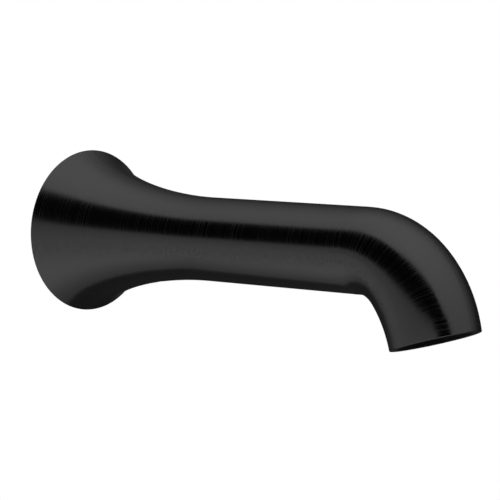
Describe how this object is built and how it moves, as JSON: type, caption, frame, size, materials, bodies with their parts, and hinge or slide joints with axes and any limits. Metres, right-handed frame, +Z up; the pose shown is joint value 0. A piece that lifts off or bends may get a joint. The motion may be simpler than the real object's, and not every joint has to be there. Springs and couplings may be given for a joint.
{
  "type": "bath spout",
  "caption": "Wall-mounted bath spout: a wide flare narrows into a round tube whose nose bends down to a slanted open mouth; it slips over a threaded connector and is locked by a grub screw.",
  "frame": {"origin": "centre of the inlet thread's mouth, on the tube's axis, in the plane of the finished wall", "axes": "+X out of the wall along the tube, +Z up, the water leaves downwards, +Y to the right of a person who faces the spout"},
  "size_m": [0.1953, 0.064, 0.0671],
  "materials": {
    "brushed_black": "satin",
    "turned_brass": "satin",
    "ring_rubber": "matte",
    "screw_steel": "satin",
    "seal_foam": "matte"
  },
  "bodies": {
    "root": {"spout_body": "brushed_black", "inlet_connector": "turned_brass", "connector_rings": "ring_rubber", "grub_screw": "screw_steel", "wall_seal": "seal_foam"}
  },
  "joints": []
}
